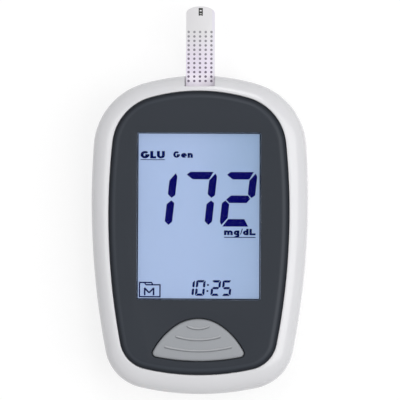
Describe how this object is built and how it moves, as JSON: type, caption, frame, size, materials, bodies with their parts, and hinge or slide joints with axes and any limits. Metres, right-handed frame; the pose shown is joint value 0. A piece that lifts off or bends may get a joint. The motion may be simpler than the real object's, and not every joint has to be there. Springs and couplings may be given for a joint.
{
  "type": "blood glucose meter",
  "caption": "Hand-held blood glucose meter with a backlit display, a rounded three-cornered button, a test strip in its port and a battery cover on the back.",
  "frame": {"origin": "on the flat back, under the middle of the body, with the meter lying on its back", "axes": "+Z out of the display face, +Y towards the test strip, +X to the right as the display is read"},
  "size_m": [0.0626, 0.1123, 0.0239],
  "materials": {
    "pearl_shell": "glossy pale pearl grey",
    "back_shell": "fine matte texture, pale grey",
    "cover_shell": "fine matte texture, pale grey",
    "bezel_plastic": "satin dark slate grey",
    "clear_lens": "clear, glossy",
    "frame_plastic": "satin black",
    "display_glass": "backlit pale blue with dark navy segments",
    "light_guide_plastic": "frosted clear acrylic",
    "led_package": "white package with yellow phosphor",
    "zebra_rubber": "striped silicone",
    "circuit_board": "green solder mask",
    "chip_black": "moulded black epoxy",
    "crystal_can": "plain can",
    "switch_steel": "pressed steel case",
    "plunger_plastic": "black",
    "button_grey": "satin light grey",
    "set_button_grey": "matte grey",
    "connector_plastic": "ivory",
    "contact_gold": "gold flash",
    "strip_film": "printed white film with small dots",
    "cell_jacket": "plain dark sleeve, copper-coloured band, steel nub",
    "plated_steel": "nickel plated",
    "screw_steel": "zinc plated",
    "label_paper": "blank matte label"
  },
  "bodies": {
    "housing": {"rear_housing": "back_shell", "front_housing": "pearl_shell", "front_bezel": "bezel_plastic", "window_lens": "clear_lens", "lcd_frame": "frame_plastic", "lcd_front_glass": "display_glass", "lcd_rear_glass": "display_glass", "light_guide": "light_guide_plastic", "backlight_leds": "led_package", "zebra_connector": "zebra_rubber", "main_pcb": "circuit_board", "microcontroller": "chip_black", "memory_chip": "chip_black", "clock_crystal": "crystal_can", "buzzer": "chip_black", "main_switch": "switch_steel", "set_switch": "switch_steel", "strip_connector": "connector_plastic", "strip_contacts": "contact_gold", "battery_cell_left": "cell_jacket", "battery_cell_right": "cell_jacket", "positive_contact": "plated_steel", "negative_contact": "plated_steel", "bridge_contact": "plated_steel", "cell_spring_upper": "plated_steel", "cell_spring_lower": "plated_steel", "housing_screws": "screw_steel", "back_label": "label_paper"},
    "main_button_body": {"main_button": "button_grey", "main_switch_plunger": "plunger_plastic"},
    "set_button_body": {"set_button": "set_button_grey", "set_switch_plunger": "plunger_plastic"},
    "test_strip_body": {"test_strip": "strip_film"},
    "battery_cover_body": {"battery_cover": "cover_shell"}
  },
  "joints": [
    {"name": "main_button_press", "type": "slide", "parent": "housing", "child": "main_button_body", "axis": [0, 0, -1], "range_m": [0, 0.0005], "stiffness_N_per_m": 3000},
    {"name": "set_button_press", "type": "slide", "parent": "housing", "child": "set_button_body", "axis": [0, 0, 1], "range_m": [0, 0.0004], "stiffness_N_per_m": 3000},
    {"name": "test_strip_pull", "type": "slide", "parent": "housing", "child": "test_strip_body", "axis": [0, 1, 0], "range_m": [0, 0.012]},
    {"name": "battery_cover_tilt", "type": "hinge", "parent": "housing", "child": "battery_cover_body", "pos_m": [0, 0.0216, 0], "axis": [1, 0, 0], "range_deg": [0, 30]}
  ]
}
